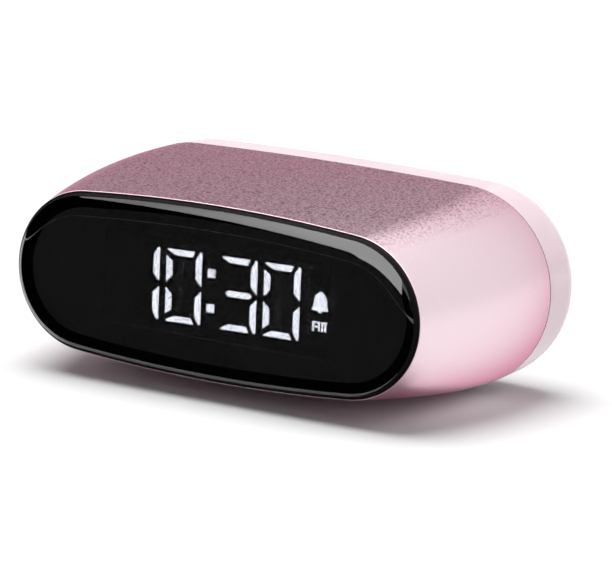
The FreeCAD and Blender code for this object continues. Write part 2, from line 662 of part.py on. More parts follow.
def key_switches():
    body = new_body("key_switches")
    for across, up, name in KEY_PLACES:
        case = front_sketch(body, f"{name}_switch", KEY_BOARD_BACK, across, up)
        rectangle(case, "switch_half_width", "switch_half_width")
        pad_back(body, case, "switch_height")
    for across, up, name in KEY_PLACES:
        bore = front_sketch(body, f"{name}_bore", SWITCH_BACK, across, up)
        circle(bore, "plunger_radius + plunger_gap")
        pocket(body, bore, "plunger_depth + key_travel + plunger_gap", to_back=False)
    return keep(body, "key_switches")


def key_board(side, label):
    body = new_body(label)
    outline = front_sketch(body, label + "_outline", KEY_BOARD, f"{side} * key_across")
    rectangle(outline, "key_board_half_width", "key_board_half_height")
    pad_back(body, outline, "key_board_thickness")
    soften(body, "Chamfer", "Size", "key_board_half_width / 3", lambda edge: edge.BoundBox.YLength > 0.5)
    holes = front_sketch(body, label + "_holes", KEY_BOARD, f"{side} * key_across")
    circle(holes, "pin_radius + pin_gap", (1, 1), "0", "stake_up")
    circle(holes, "pin_radius + pin_gap", (1, -1), "0", "stake_up")
    pocket(body, holes, "key_board_thickness")
    return keep(body, label)


def alarm_slider_case():
    body = new_body("alarm_slider_case")
    case = front_sketch(body, "slider_case", KEY_BOARD_BACK, "key_across")
    rectangle(case, "slider_half_width", "slider_half_height")
    pad_back(body, case, "switch_height")
    slot = front_sketch(body, "slider_slot", SWITCH_BACK, "key_across")
    rectangle(slot, "lever_half_width + lever_gap", "lever_half_width + alarm_travel / 2 + lever_gap")
    pocket(body, slot, "lever_reach + lever_gap", to_back=False)
    return keep(body, "alarm_slider_case")


def alarm_lever():
    return plate("alarm_lever", f"{SWITCH_BACK} - lever_reach",
                 f"lever_reach + plunger_reach + lever_sink", "lever_half_width", "lever_half_width",
                 "key_across", KNOB_REST)


def alarm_knob():
    body = new_body("alarm_knob")
    lip = front_sketch(body, "knob_lip", LIP_FRONT, "key_across", KNOB_REST)
    rectangle(lip, "knob_half_width + knob_lip_side", "knob_half_height + knob_lip_end")
    pad_back(body, lip, "key_lip_thickness")
    cap = front_sketch(body, "knob_cap", LIP_FRONT, "key_across", KNOB_REST)
    rectangle(cap, "knob_half_width", "knob_half_height")
    pad_back(body, cap, f"body_depth + knob_proud - {LIP_FRONT}")
    socket = front_sketch(body, "knob_socket", LIP_FRONT, "key_across", KNOB_REST)
    rectangle(socket, "lever_half_width + lever_gap", "lever_half_width + lever_gap")
    pocket(body, socket, "lever_sink + lever_gap")
    for step in (-1, 0, 1):
        groove = front_sketch(body, f"knob_groove_{step + 1}", "body_depth + knob_proud", "key_across",
                              f"{KNOB_REST} + {step} * knob_half_height / 2")
        rectangle(groove, "knob_half_width + key_gap", "knob_half_height / 10")
        pocket(body, groove, "knob_proud / 2", to_back=False)
    return keep(body, "alarm_knob")


def buzzer():
    body = new_body("buzzer")
    can = front_sketch(body, "buzzer_can", KEY_BOARD_BACK, "-key_across")
    circle(can, "buzzer_radius")
    pad_back(body, can, "buzzer_height")
    soften(body, "Fillet", "Radius", "buzzer_height / 10", at_depth(f"{KEY_BOARD_BACK} + buzzer_height"))
    port = front_sketch(body, "buzzer_hole", f"{KEY_BOARD_BACK} + buzzer_height", "-key_across")
    circle(port, "buzzer_port")
    pocket(body, port, "buzzer_height / 4", to_back=False)
    return keep(body, "buzzer")


def battery_cells():
    """Two AAA cells, head to tail, each pushed towards the contact plate at its positive end."""
    body = new_body("battery_cells")
    for side in (1, -1):
        word = "upper" if side > 0 else "lower"
        case = side_sketch(body, f"{word}_cell", f"{side} * {CELL_SHIFT}", CELL_AXIS, f"{side} * cell_up")
        circle(case, "cell_radius")
        pad(body, case, "cell_length", both_ways=True)
        nub = side_sketch(body, f"{word}_nub", f"{side} * ({CELL_SHIFT} + cell_length / 2)", CELL_AXIS,
                          f"{side} * cell_up")
        circle(nub, "nub_radius")
        pad(body, nub, "nub_length", forward=side > 0)
    return keep(body, "battery_cells")


def contact_plate(body, name, side, level):
    """A flat stamped plate against the bay's end wall."""
    across = f"{side} * (bay_half_width - contact_thickness / 2)"
    outline = front_sketch(body, name, f"{CELL_AXIS} - contact_half_depth", across, f"{level} * cell_up")
    rectangle(outline, "contact_thickness / 2", "contact_half_height")
    pad_back(body, outline, "2 * contact_half_depth")


def contact_leaf(body, name, side, level):
    """A bent spring leaf that presses on a cell's flat end."""
    wall = "bay_half_width"
    touch = f"(cell_length / 2 - {CELL_SHIFT} + contact_gap)"
    mid = f"{level} * cell_up"
    points = [(wall, "contact_half_height"), (wall, "-contact_half_height"),
              (f"{wall} - contact_thickness", "-contact_half_height"),
              (f"{wall} - contact_thickness", "contact_half_height - 3 * contact_thickness"),
              (f"{touch} + contact_thickness", "contact_thickness"),
              (f"{touch} + contact_thickness", "-contact_thickness"),
              (f"{wall} - 3 * contact_thickness", "-contact_half_height + contact_thickness"),
              (f"{wall} - 4 * contact_thickness", "-contact_half_height + contact_thickness"),
              (touch, "-2 * contact_thickness"), (touch, "2 * contact_thickness"),
              (f"{wall} - contact_thickness", "contact_half_height")]
    outline = front_sketch(body, name, f"{CELL_AXIS} - contact_half_depth")
    polygon(outline, [(f"{side} * ({across})", f"{mid} + {up}") for across, up in points])
    pad_back(body, outline, "2 * contact_half_depth")


def contact_tab(body, name, level):
    """The soldered tab that leaves the bay through a slit and lies on the right key board."""
    outline = front_sketch(body, name, f"{KEY_BOARD} - contact_thickness",
                           "bay_half_width - contact_thickness + tab_length / 2", f"{level} * cell_up")
    rectangle(outline, "tab_length / 2", "contact_half_height / 2")
    pad_back(body, outline, "contact_thickness")


def battery_contacts():
    series = new_body("series_contact")
    contact_plate(series, "series_plate", -1, -1)
    contact_leaf(series, "series_leaf", -1, 1)
    bridge = front_sketch(series, "series_bridge", f"{CELL_AXIS} - contact_half_depth / 2",
                          "contact_thickness / 2 - bay_half_width")
    rectangle(bridge, "contact_thickness / 2", "cell_up - contact_half_height + contact_thickness")
    pad_back(series, bridge, "contact_half_depth")
    keep(series, "series_contact")
    positive = new_body("positive_contact")
    contact_plate(positive, "positive_plate", 1, 1)
    contact_tab(positive, "positive_tab", 1)
    keep(positive, "positive_contact")
    negative = new_body("negative_contact")
    contact_leaf(negative, "negative_leaf", 1, -1)
    contact_tab(negative, "negative_tab", -1)
    keep(negative, "negative_contact")


def battery_door():
    body = new_body("battery_door")
    panel = front_sketch(body, "door_panel", DOOR_INSIDE)
    side, top = "(bay_half_width - door_gap)", "(bay_half_height - door_gap)"
    polygon(panel, [(f"-{side}", HINGE_HEIGHT), (side, HINGE_HEIGHT), (side, top), (f"-{side}", top)])
    pad_back(body, panel, "door_thickness")
    barrel = side_sketch(body, "door_barrel", "0", HINGE_DEPTH, HINGE_HEIGHT)
    circle(barrel, "barrel_radius")
    pad(body, barrel, f"2 * {side}", both_ways=True)
    pins = side_sketch(body, "door_pins", "0", HINGE_DEPTH, HINGE_HEIGHT)
    circle(pins, "hinge_pin_radius")
    pad(body, pins, f"2 * ({side} + hinge_pin_length)", both_ways=True)
    latch = front_sketch(body, "door_latch", f"{DOOR_INSIDE} - latch_reach",
                         up=f"{top} - latch_thickness / 2")
    rectangle(latch, "latch_half_width", "latch_thickness / 2")
    pad_back(body, latch, "latch_reach + door_thickness / 2")
    groove = front_sketch(body, "door_groove", "body_depth", up="groove_up")
    obround(groove, "groove_half_length", "groove_half_height")
    pocket(body, groove, "groove_depth", to_back=False)
    return keep(body, "battery_door")


def foot(label, station):
    """A soft strip whose top follows the sleeve's underside."""
    body = new_body(label)
    outline = top_sketch(body, label + "_outline", f"-({STAND_HEIGHT})", "0", station)
    obround(outline, "foot_half_length", "foot_half_width")
    pad(body, outline, "rear_half_height / 2")
    form_loft(body, label + "_seat", "0", "SubtractiveLoft")
    return keep(body, label)


def ribbon_cables():
    """Flat cables with a folded slack, one from each key board to the main board."""
    body = new_body("ribbon_cables")
    near = f"({BOARD_BACK} + ribbon_fold)"
    far = f"({KEY_BOARD} - ribbon_fold)"
    path = [("0", BOARD_BACK), ("-ribbon_slack", near), ("-ribbon_slack", far), ("0", KEY_BOARD)]
    for side in (1, -1):
        outline = top_sketch(body, f"ribbon_{'right' if side > 0 else 'left'}", "-ribbon_half_width")
        there = [(f"{side} * (key_across + {bend})", depth) for bend, depth in path]
        back = [(f"{side} * (key_across + {bend} - ribbon_thickness)", depth) for bend, depth in path]
        polygon(outline, there + back[::-1])
        pad(body, outline, "2 * ribbon_half_width")
    return keep(body, "ribbon_cables")


def touch_spring():
    """A leaf from the main board up to the sleeve, which serves as the snooze touch plate."""
    body = new_body("touch_spring")
    reach = "(front_half_height - rim_width - seat_ledge - touch_gap)"
    back = BOARD_BACK
    thin = "touch_thickness"
    outline = side_sketch(body, "touch_profile", "-touch_half_width")
    foot = "board_half_height - touch_base"
    points = [(back, foot), (f"{back} + {thin}", foot),
              (f"{back} + {thin}", "board_half_height"), (f"{back} + 3 * {thin}", f"{reach} - {thin}"),
              (f"{back} + 6 * {thin}", f"{reach} - {thin}"), (f"{back} + 6 * {thin}", reach),
              (f"{back} + 2 * {thin}", reach), (back, "board_half_height")]
    polygon(outline, points)
    pad(body, outline, "2 * touch_half_width")
    return keep(body, "touch_spring")


LIT_STROKES = {"0": "abcdef", "1": "bc", "3": "abcdg"}


def flat_shape(points, depth, thickness):
    """A closed flat outline seen from the front, given thickness towards the back."""
    corners = [Vector(x, depth, z) for x, z in points]
    face = Part.Face(Part.makePolygon(corners + corners[:1]))
    return face.extrude(Vector(0, thickness, 0))


def mirrored(points):
    return [(x, -z) for x, z in points]


def digit_strokes(mark, middle, size):
    """The lit strokes of one figure. The right strokes run out to the corners, the left ones stop short."""
    wide, tall = size("figure_half_width"), size("figure_half_height")
    s, bar, gap = size("stroke"), size("level_stroke"), size("figure_gap")
    inner = wide - s
    left = [(-wide, gap), (-wide, tall - bar - gap / 2), (-inner, tall - 2 * bar), (-inner, gap + s)]
    right = [(wide, gap), (wide, tall - gap / 2), (wide - s / 4, tall), (inner, tall - 1.4 * bar),
             (inner, gap + s)]
    top = [(gap / 2 - wide, tall), (inner - gap / 2, tall), (inner - 1.5 * gap, tall - bar),
           (gap / 2 + 1.5 * bar - wide, tall - bar), (gap / 2 - wide, tall - gap / 2)]
    reach = wide - 2 * gap
    middle_bar = [(-reach, 0), (gap - reach, bar / 2), (reach - gap, bar / 2), (reach, 0),
                  (reach - gap, -bar / 2), (gap - reach, -bar / 2)]
    strokes = {"a": top, "b": right, "c": mirrored(right), "d": mirrored(top), "e": mirrored(left),
               "f": left, "g": middle_bar}
    return [[(x + middle, z) for x, z in strokes[name]] for name in LIT_STROKES[mark]]


def bell_outline(size):
    """A small alarm bell: knob, dome, flared rim and clapper."""
    x, z = size("bell_across"), size("bell_up")
    wide, tall = size("bell_half_width"), size("bell_half_height")
    half = [(0.1, 1.0), (0.3, 0.84), (0.52, 0.68), (0.68, 0.48), (0.75, 0.25), (0.77, -0.15), (0.8, -0.35),
            (0.97, -0.58), (1.0, -0.76), (0.26, -0.76), (0.2, -0.93), (0.08, -1.0)]
    points = half + [(-across, up) for across, up in reversed(half)]
    return [(x + across * wide, z + up * tall) for across, up in points]


def letter(across, legs, bars, size, depth, thickness):
    """One block letter, joined from upright legs and level bars that share a stroke width."""
    tall, wide, s = size("letter_height"), size("letter_width"), size("letter_stroke")
    up = size("letters_up")
    boxes = [(leg * (wide - s), -tall / 2, s, tall) for leg in legs]
    boxes += [(0, bar * (tall - s) - tall / 2, wide, s) for bar in bars]
    shapes = []
    for left, low, width, height in boxes:
        x, z = across + left, up + low
        shapes.append(flat_shape([(x, z), (x + width, z), (x + width, z + height), (x, z + height)],
                                 depth, thickness))
    return shapes[0].multiFuse(shapes[1:]).removeSplitter()


def lit_segments():
    """The figures 10:30, an alarm bell and the morning mark, all a shade off level."""
    size = lambda alias: float(getattr(sheet, alias))
    depth, thickness = value(SEGMENTS), size("segment_layer")
    outlines = []
    for i, mark in enumerate("1030"):
        middle = size("first_digit") + i * size("digit_pitch") + (size("colon_space") if i > 1 else 0)
        outlines += digit_strokes(mark, middle, size)
    colon = size("first_digit") + 1.5 * size("digit_pitch") + size("colon_space") / 2
    half = size("colon_side") / 2
    for up in (size("colon_half_gap"), -size("colon_half_gap")):
        outlines.append([(colon - half, up - half), (colon + half, up - half), (colon + half, up + half),
                         (colon - half, up + half)])
    outlines.append(bell_outline(size))
    shapes = [flat_shape(points, depth, thickness) for points in outlines]
    spread = size("letter_space") / 2
    shapes.append(letter(size("letters_across") - spread - size("letter_width"), (0, 1), (0.45, 1), size,
                         depth, thickness))
    shapes.append(letter(size("letters_across") + spread, (0, 0.5, 1), (1,), size, depth, thickness))
    for shape in shapes:
        shape.rotate(Vector(0, 0, 0), Vector(0, -1, 0), size("figure_tilt"))
        shape.translate(Vector(0, 0, size("figures_up")))
    piece = doc.addObject("Part::Feature", "lit_segments")
    piece.Shape = Part.makeCompound(shapes)
    return keep(piece, "lit_segments")


housing_sleeve()
front_lens()
lens_adhesive()
lens_carrier()
plate("front_polarizer", RECESS, "polarizer_thickness", "glass_half_width", "rear_glass_half_height")
plate("lcd_front_glass", FRONT_GLASS, "glass_thickness", "glass_half_width", "glass_half_height")
lit_segments()
plate("lcd_rear_glass", REAR_GLASS, "glass_thickness", "glass_half_width", "rear_glass_half_height")
plate("rear_polarizer", REAR_FILM, "polarizer_thickness", "glass_half_width", "rear_glass_half_height")
light_guide()
backlight_leds()
contact_strips()
main_board()
clock_chip()
quartz_crystal()
screws("board_screws", BOARD_BACK, board_spots, "board_head_radius", "board_head_height",
       "board_screw_radius", "board_screw_length")
rear_cover()
screws("case_screws", HEAD_SEAT, case_spots, "case_head_radius", "case_head_height",
       "case_screw_radius", "case_screw_length")
for key_across, key_up, key_label in KEY_PLACES:
    key_button(key_across, key_up, key_label)
    key_plunger(key_across, key_up, key_label.replace("button", "plunger"))
key_switches()
key_board(-1, "left_key_board")
key_board(1, "right_key_board")
alarm_slider_case()
alarm_lever()
alarm_knob()
buzzer()
battery_cells()
battery_contacts()
battery_door()
foot("front_foot", "front_foot_station")
foot("rear_foot", "sleeve_depth - rear_foot_setback")
ribbon_cables()
touch_spring()
doc.recompute()

for thing in doc.Objects:
    if "Invalid" in thing.State or "Error" in thing.State:
        raise RuntimeError(f"{thing.Label} failed: {thing.State}")
os.makedirs("parts", exist_ok=True)
for node in NODES:
    if node.Shape.isNull() or not node.Shape.isValid() or not node.Shape.Solids:
        raise RuntimeError(f"{node.Label} is not a valid solid")
for node in NODES:
    node.Shape.exportStep(f"parts/{node.Label}.step")
    box = node.Shape.BoundBox
    print(f"{node.Label:20s} solids {len(node.Shape.Solids):2d}  volume {node.Shape.Volume:9.1f}  "
          f"x {box.XMin:7.2f} {box.XMax:7.2f}  y {box.YMin:7.2f} {box.YMax:7.2f}  "
          f"z {box.ZMin:7.2f} {box.ZMax:7.2f}")
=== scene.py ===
# %% [markdown]
# # A small bedside alarm clock
# The clock is a bowed metal sleeve with a dark crowned lens at the front and a moulded cover at the
# back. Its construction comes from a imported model, which stays as it is. This lesson adds the
# camera, the light, the finishes and the small details that a drawing office leaves out.

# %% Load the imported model
import math
import bpy
import bmesh
from mathutils import Matrix, Vector


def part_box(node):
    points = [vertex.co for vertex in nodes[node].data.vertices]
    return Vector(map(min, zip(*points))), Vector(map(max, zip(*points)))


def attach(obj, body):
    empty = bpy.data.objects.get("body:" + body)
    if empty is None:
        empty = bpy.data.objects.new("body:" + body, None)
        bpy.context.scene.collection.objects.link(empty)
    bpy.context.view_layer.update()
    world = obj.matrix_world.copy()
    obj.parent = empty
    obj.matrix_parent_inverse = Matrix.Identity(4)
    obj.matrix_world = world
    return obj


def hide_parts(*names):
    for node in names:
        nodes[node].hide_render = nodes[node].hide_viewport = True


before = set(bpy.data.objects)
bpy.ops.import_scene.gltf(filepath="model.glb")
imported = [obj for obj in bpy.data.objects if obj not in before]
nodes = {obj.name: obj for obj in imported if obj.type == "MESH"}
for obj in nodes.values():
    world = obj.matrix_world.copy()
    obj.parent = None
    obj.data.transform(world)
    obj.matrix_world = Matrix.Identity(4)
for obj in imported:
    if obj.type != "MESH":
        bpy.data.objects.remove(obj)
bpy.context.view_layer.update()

scene = bpy.context.scene
MM = 0.001

# %% [markdown]
# ## The camera
# The photograph was taken with a long lens from the right and a little above, and the camera was
# not quite level, so upright lines lean to the right. The camera is set by those three angles, by
# the point it aims at and by its distance. A matrix made of its right, up and back directions says
# this in one go, and leaves no tracking constraint behind.

# %% Camera
AZIMUTH, ELEVATION, ROLL = math.radians(29.5), math.radians(11.7), math.radians(3.25)
AIM = Vector((14.70, -18.30, 22.66)) * MM
DISTANCE = 810.9 * MM
# These two are marked in millimetres on a real camera, and are set in millimetres here too.
SENSOR_WIDTH, FOCAL_LENGTH = 36, 254.5
NEAREST, FARTHEST = 0.05, 20

level_right = Vector((math.cos(AZIMUTH), math.sin(AZIMUTH), 0))
back = Vector((math.sin(AZIMUTH) * math.cos(ELEVATION), -math.cos(AZIMUTH) * math.cos(ELEVATION),
               math.sin(ELEVATION)))
level_up = back.cross(level_right)
right = level_right * math.cos(ROLL) + level_up * math.sin(ROLL)
up = back.cross(right)

camera = bpy.data.objects.new("camera", bpy.data.cameras.new("camera"))
camera.data.sensor_width, camera.data.lens = SENSOR_WIDTH, FOCAL_LENGTH
camera.data.clip_start, camera.data.clip_end = NEAREST, FARTHEST
camera.matrix_world = Matrix((right, up, back)).transposed().to_4x4()
camera.location = AIM + back * DISTANCE
scene.collection.objects.link(camera)
scene.camera = camera
print("camera at", [round(x, 3) for x in camera.location])

# %% [markdown]
# ## Helpers for materials
# Colours are easier to pick and compare as the hex values of a colour picker, but a shader works
# with linear light, so one function turns the first into the second. Another adds a node, sets
# its values and links its inputs in one call, which keeps a material's recipe short enough to read.
# Two more make what nearly every finish has: a fine grain in its surface, whose size is given in
# real millimetres, and a slow change of colour.

# %% Colour and node helpers
def shade(code):
    """An sRGB hex colour as linear RGBA."""
    parts = [int(code[i:i + 2], 16) / 255 for i in (1, 3, 5)]
    return (*[p / 12.92 if p <= 0.04045 else ((p + 0.055) / 1.055) ** 2.4 for p in parts], 1)


def add(tree, kind, settings=None, **inputs):
    """Add a node. An input, by name or as _ and its number, is a value or a socket to link from."""
    node = tree.nodes.new(kind)
    for name, setting in (settings or {}).items():
        setattr(node, name, setting)
    for name, source in inputs.items():
        socket = node.inputs[int(name[1:]) if name[1:].isdigit() else name.replace("_", " ")]
        if isinstance(source, bpy.types.NodeSocket):
            tree.links.new(source, socket)
        else:
            socket.default_value = source
    return node


def material(name, colour, roughness, metallic=0.0, ior=1.5, **more):
    """A Principled material with its plain values on the shader's own sockets."""
    made = bpy.data.materials.new(name)
    made.use_nodes = True
    shader = made.node_tree.nodes["Principled BSDF"]
    values = {"Base Color": shade(colour), "Roughness": roughness, "Metallic": metallic, "IOR": ior}
    values.update({key.replace("_", " "): value for key, value in more.items()})
    for key, value in values.items():
        shader.inputs[key].default_value = value
    return made, made.node_tree, shader


def object_place(tree):
    """The place on the object, in metres. Every object sits at the origin, so it is the real place."""
    return add(tree, "ShaderNodeTexCoord").outputs["Object"]


def grain(tree, shader, size_mm, depth_mm):
    """Fine bumps of a real size, on any surface."""
    noise = add(tree, "ShaderNodeTexNoise", Vector=object_place(tree), Scale=1 / (size_mm * MM),
                Detail=2.0)
    bump = add(tree, "ShaderNodeBump", Height=noise.outputs["Fac"], Strength=1.0,
               Distance=depth_mm * MM)
    tree.links.new(bump.outputs["Normal"], shader.inputs["Normal"])
    return noise


def mottle(tree, shader, dark, light, size_mm):
    """A slow change of colour across a surface, as every real batch of paint or resin has."""
    noise = add(tree, "ShaderNodeTexNoise", Vector=object_place(tree), Scale=1 / (size_mm * MM),
                Detail=3.0)
    ramp = add(tree, "ShaderNodeValToRGB", Fac=noise.outputs["Fac"])
    for stop, position, tone in zip(ramp.color_ramp.elements, (0.35, 0.65), (dark, light)):
        stop.position, stop.color = position, shade(tone)
    tree.links.new(ramp.outputs["Color"], shader.inputs["Base Color"])


def dress(made, *names):
    """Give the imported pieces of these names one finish."""
    for name in names:
        nodes[name].data.materials.clear()
        nodes[name].data.materials.append(made)
    print(made.name, "on", ", ".join(names))


# %% [markdown]
# ## The sleeve: anodised aluminium
# The sleeve is blasted with fine glass beads and then anodised pink. The dents mirror the light each
# in its own way, so the metal glitters. One noise makes the dents and drives the bump. On the
# sleeve's top it also paints glints into the colour: the pits are painted darker, a painted shade
# that darkens the whole top, because the renderer's clean-up takes single glints for noise and
# removes them. Real dents are about a fifth of a millimetre across. They are too fine to show at the
# photograph's size, so they are drawn coarser, half a millimetre across.
#
# The rounded rim in front is painted pale and even, a painted highlight, and is rougher, while its
# narrow flat face is smoother. Both follow from the way the surface faces. The measure is 0 straight
# to the front and 1 for up, down and sideways, which is the sleeve's body.

# %% Anodised aluminium
# The tone and the roughness of each part of the sleeve, and where each begins and ends. The
# rounding's paler tone is a painted highlight.
FLAT, ROUNDING_HIGHLIGHT, BODY = ("#E9D5DC", 0.2), ("#F2DEE6", 0.8), ("#E9D5DC", 0.34)
RIM_STOPS = ((0.0, FLAT), (0.01, FLAT), (0.04, ROUNDING_HIGHLIGHT), (0.45, ROUNDING_HIGHLIGHT), (0.6, BODY), (1.0, BODY))
DENT_SIZE_MM, DENT_DEPTH_MM = 0.5, 0.05
PAINTED_PIT_SHADE, PAINTED_PEAK_GLINT = (0.36, "#B2AAAE"), (0.54, "#FFFFFF")
# The upward share of the normal at which the painted glints and the painted shade of the top set in,
# and from which on they are complete.
PAINTED_GLINT_FROM, PAINTED_GLINT_FULL = 0.82, 0.99

anodised, tree, shader = material("anodised_aluminium", BODY[0], BODY[1], 1.0,
                                  Specular_Tint=shade("#C66E90"))
dent_and_glint_noise = grain(tree, shader, DENT_SIZE_MM, DENT_DEPTH_MM)
normal = add(tree, "ShaderNodeTexCoord").outputs["Normal"]
facing = add(tree, "ShaderNodeSeparateXYZ", Vector=normal)
fronting = add(tree, "ShaderNodeMapRange", Value=facing.outputs["Y"], _1=-1.0, _2=0.0)
rim_roughness = add(tree, "ShaderNodeValToRGB", {"label": "rim"}, Fac=fronting.outputs[0])
rim_tone_and_highlight = add(tree, "ShaderNodeValToRGB", {"label": "rim tone"}, Fac=fronting.outputs[0])
for position, (tone, rough) in RIM_STOPS:
    for ramp, colour in ((rim_roughness, (rough, rough, rough, 1)), (rim_tone_and_highlight, shade(tone))):
        stops = ramp.color_ramp.elements
        if position in (0.0, 1.0):
            stop = stops[0 if position == 0.0 else -1]
        else:
            stop = stops.new(position)
        stop.color = colour
# Painted glints on the top: the pits are painted a darker tone, which is painted shade, and the peaks
# keep the tone as it is.
painted_glints = add(tree, "ShaderNodeValToRGB", Fac=dent_and_glint_noise.outputs["Fac"])
for stop, (position, tone) in zip(painted_glints.color_ramp.elements, (PAINTED_PIT_SHADE, PAINTED_PEAK_GLINT)):
    stop.position, stop.color = position, shade(tone)
painted_shade_on_top = add(tree, "ShaderNodeMapRange", Value=facing.outputs["Z"], _1=PAINTED_GLINT_FROM, _2=PAINTED_GLINT_FULL)
tone_with_painted_glints = add(tree, "ShaderNodeMix", {"data_type": "RGBA", "blend_type": "MULTIPLY"},
              _0=painted_shade_on_top.outputs[0], _6=rim_tone_and_highlight.outputs["Color"], _7=painted_glints.outputs["Color"])
tree.links.new(tone_with_painted_glints.outputs[2], shader.inputs["Base Color"])
tree.links.new(rim_roughness.outputs["Color"], shader.inputs["Roughness"])
dress(anodised, "housing_sleeve")

# %% [markdown]
# ## The rear cover and the keys: moulded ABS
# The cover and its battery door are plastic mouldings, painted to match the sleeve. They have no
# glitter: the pearl paint is a smooth satin, and only a faint unevenness shows in its reflections.
# The keys and the knob are moulded in pink ABS and stay bare, since fingers would wear paint off.

# %% Pearl painted and plain ABS
# Pearl paint, sprayed: a smooth satin with a slight metallic depth.
pearl, tree, shader = material("pearl_painted_abs", "#F6DDE6", 0.26, 0.35)
grain(tree, shader, 1.2, 0.004)
mottle(tree, shader, "#F4DAE4", "#FAE1E9", 9)
dress(pearl, "rear_cover", "battery_door")

# Pink ABS, moulded: a fine even grain and a soft, flat sheen.
keys, tree, shader = material("key_abs", "#EED3DD", 0.42)
grain(tree, shader, 0.4, 0.006)
mottle(tree, shader, "#EBCFDA", "#F1D8E1", 3)
dress(keys, "hour_button", "minute_button", "time_set_button", "alarm_set_button", "alarm_knob")

# %% [markdown]
# ## The lens: smoked acrylic
# The lens looks black because it is deeply tinted, so only the lit figures show through. It is cast
# clear and smooth, without any grain, and has a hard coat against scratches. The coat mirrors the
# light above the clock along the lens's shoulder. It is a layer of its own in the shader too,
# because the level of reflection can't be raised on a body that light passes through.

# %% Smoked acrylic
WAVE_LENGTH, WAVE_DEPTH, WAVE_STRENGTH = 14 * MM, 0.002 * MM, 0.05
smoked, tree, shader = material("smoked_acrylic", "#545456", 0.02, ior=1.49, Transmission_Weight=1.0,
                                Coat_Weight=1.0, Coat_Roughness=0.02)
streak = add(tree, "ShaderNodeTexNoise", Vector=object_place(tree), Scale=1 / WAVE_LENGTH, Detail=1.0)
wave = add(tree, "ShaderNodeBump", Height=streak.outputs["Fac"], Strength=WAVE_STRENGTH,
           Distance=WAVE_DEPTH)
tree.links.new(wave.outputs["Normal"], shader.inputs["Normal"])
print(smoked.name, "made for the lens")

# %% [markdown]
# ## The lens's crown
# A mirror smooth surface shows every flat of a coarse mesh as a kink in its reflections. So the lens
# is drawn again from its own rule, in fine rows: each row is the same bowed oval, drawn in a little
# further and standing a little prouder, along a quarter of an ellipse. The first row is sunk into the
# bonding film, so that the two share no plane. The last one lies on the flat front, which keeps the
# flat's shading apart from the shoulder's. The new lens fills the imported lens's place.

# %% Lens rows
LENS_BOW, LENS_SHOULDER, LENS_CROWN = 1.3 * MM, 5.0 * MM, 2.2 * MM
SUNK_IN_FILM, FLAT_MARGIN = 0.02 * MM, 0.5 * MM
END_STEPS, ARCH_STEPS, CROWN_STEPS = 72, 60, 28

low, high = (Vector(corner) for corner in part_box("front_lens"))
lens_centre, lens_half = (low + high) / 2, (high - low) / 2


def oval(inset):
    """Points (x, z) round a bowed oval: an end, the upper arch, the other end, the lower arch."""
    wide, tall = lens_half.x - inset, lens_half.z - inset
    end = tall - LENS_BOW
    across = wide - end
    arch = (across ** 2 + tall ** 2 - end ** 2) / (2 * LENS_BOW)
    drop = arch - tall
    lean = math.atan2(drop, across)
    runs = [(across, 0, end, -lean, lean, END_STEPS),
            (0, -drop, arch, lean, math.pi - lean, ARCH_STEPS),
            (-across, 0, end, math.pi - lean, math.pi + lean, END_STEPS),
            (0, drop, arch, math.pi + lean, 2 * math.pi - lean, ARCH_STEPS)]
    points = []
    for x, z, radius, start, stop, steps in runs:
        for i in range(steps):
            turn = start + (stop - start) * i / steps
            points.append((x + radius * math.cos(turn), z + radius * math.sin(turn)))
    return points


def crown(turn):
    """How far in and how far forward the crown is: at 0 its outer edge, at a right angle its flat."""
    return LENS_SHOULDER * (1 - math.cos(turn)), low.y + LENS_CROWN * (1 - math.sin(turn))


rows = [(0, high.y + SUNK_IN_FILM)]
rows += [crown(math.pi / 2 * i / CROWN_STEPS) for i in range(CROWN_STEPS + 1)]
rows.append((LENS_SHOULDER + FLAT_MARGIN, low.y))
print(len(rows), "rows of", len(oval(0)), "points")

# %% Helpers for rows of points
def add_rings(mesh, rows):
    """A ring of points for each row, which is an inset and a depth."""
    return [[mesh.verts.new((lens_centre.x + x, y, lens_centre.z + z)) for x, z in oval(inset)]
            for inset, y in rows]


def bridge(mesh, one, other):
    """A band of faces between two rings."""
    for i, vert in enumerate(one):
        j = (i + 1) % len(one)
        mesh.faces.new((vert, one[j], other[j], other[i]))


def keep_mesh(mesh, name, finish):
    """Turn an edited mesh into an object with a finish."""
    made = bpy.data.objects.new(name, bpy.data.meshes.new(name))
    mesh.to_mesh(made.data)
    mesh.free()
    made.data.materials.append(finish)
    scene.collection.objects.link(made)
    print(name, [round(x / MM, 2) for x in made.dimensions], "mm,", len(made.data.polygons), "faces")
    return made


# %% Lens mesh
mesh = bmesh.new()
rings = add_rings(mesh, rows)
for back_ring, front_ring in zip(rings, rings[1:]):
    bridge(mesh, back_ring, front_ring)
mesh.faces.new(rings[-1])
mesh.faces.new(list(reversed(rings[0])))
bmesh.ops.recalc_face_normals(mesh, faces=mesh.faces)
for face in mesh.faces:
    face.smooth = True
# The back's edge stays sharp, or the flat back would be shaded as part of the wall.
for vert, following in zip(rings[0], rings[0][1:] + rings[0][:1]):
    mesh.edges.get((vert, following)).smooth = False
crowned_lens = keep_mesh(mesh, "crowned_lens", smoked)
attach(crowned_lens, "clock")
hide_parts("front_lens")

# %% [markdown]
# ## The lens's inked edge
# The edge of such a lens is printed black, or light from the bright sleeve would leak in through it.
# The ink runs up the wall and a third of a millimetre over the crown, which gives the lens its dark
# outline. It is a thin closed skin of the same ovals, half sunk into the acrylic. Over the crown it
# follows the crown's own rule and stands off along its normal, and its last row dips back inside.

# %% Inked edge
INK_WALL, INK_SKIN = 0.05 * MM, 0.02 * MM
INK_OVER, INK_STEPS = math.radians(21), 6
INK_TUCK_IN, INK_TUCK_BACK = 0.03 * MM, 0.2 * MM

# Masking ink, printed: a flat black that mirrors next to nothing.
ink, tree, shader = material("masking_ink", "#040404", 0.6, Specular_IOR_Level=0.08)
grain(tree, shader, 0.1, 0.002)

